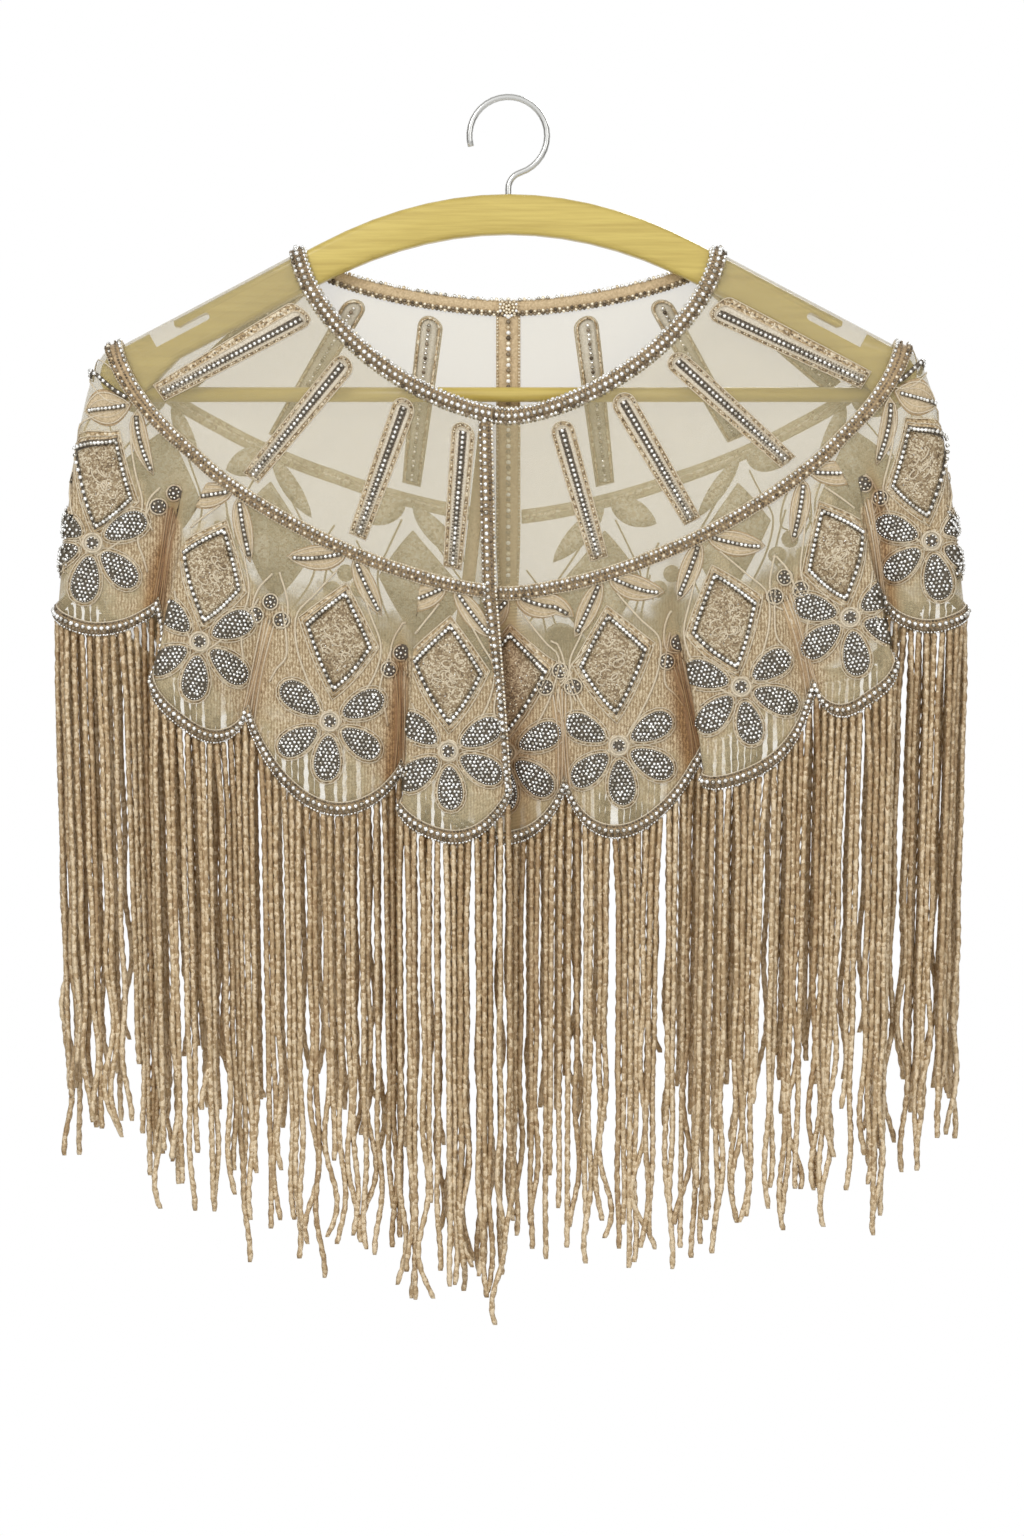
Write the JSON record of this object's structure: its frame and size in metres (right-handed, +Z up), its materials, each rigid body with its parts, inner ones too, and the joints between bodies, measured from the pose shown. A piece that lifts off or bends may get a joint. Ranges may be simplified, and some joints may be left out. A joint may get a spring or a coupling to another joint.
{
  "type": "jewelled cape on a hanger",
  "caption": "Sheer beaded shoulder cape with scalloped hem and long bead fringe, open down the front, hung on a plain wooden coat hanger.",
  "frame": {"origin": "inner top of the hanger's hook, where a rail carries it", "axes": "+Z up; the cape's front faces -Y; the wearer's right front is at -X"},
  "size_m": [0.4851, 0.0591, 0.6423],
  "materials": {
    "sheer_net": "sheer, matte",
    "bead_band": "bead-worked, silver glass beads",
    "champagne_work": "embroidered, bead-worked",
    "fringe_beads": "strung glass beads",
    "hanger_wood": "varnished",
    "hook_steel": "bright"
  },
  "bodies": {
    "root": {"net_left": "sheer_net", "net_right": "sheer_net", "neck_band_left": "bead_band", "neck_band_right": "bead_band", "yoke_band_left": "bead_band", "yoke_band_right": "bead_band", "hem_band_left": "bead_band", "hem_band_right": "bead_band", "edge_band_left": "bead_band", "edge_band_right": "bead_band", "centre_back_placket": "champagne_work", "back_button": "bead_band", "diamond_left_1": "champagne_work", "diamond_left_2": "champagne_work", "diamond_left_3": "champagne_work", "diamond_left_4": "champagne_work", "diamond_left_5": "champagne_work", "diamond_left_6": "champagne_work", "diamond_left_7": "champagne_work", "diamond_right_1": "champagne_work", "diamond_right_2": "champagne_work", "diamond_right_3": "champagne_work", "diamond_right_4": "champagne_work", "diamond_right_5": "champagne_work", "diamond_right_6": "champagne_work", "diamond_right_7": "champagne_work", "diamond_right_8": "champagne_work", "fringe_left_1": "fringe_beads", "fringe_left_2": "fringe_beads", "fringe_left_3": "fringe_beads", "fringe_left_4": "fringe_beads", "fringe_left_5": "fringe_beads", "fringe_left_6": "fringe_beads", "fringe_left_7": "fringe_beads", "fringe_right_1": "fringe_beads", "fringe_right_2": "fringe_beads", "fringe_right_3": "fringe_beads", "fringe_right_4": "fringe_beads", "fringe_right_5": "fringe_beads", "fringe_right_6": "fringe_beads", "fringe_right_7": "fringe_beads", "fringe_right_8": "fringe_beads", "hanger_arms": "hanger_wood", "hanger_bar": "hanger_wood", "hanger_hook": "hook_steel"}
  },
  "joints": []
}
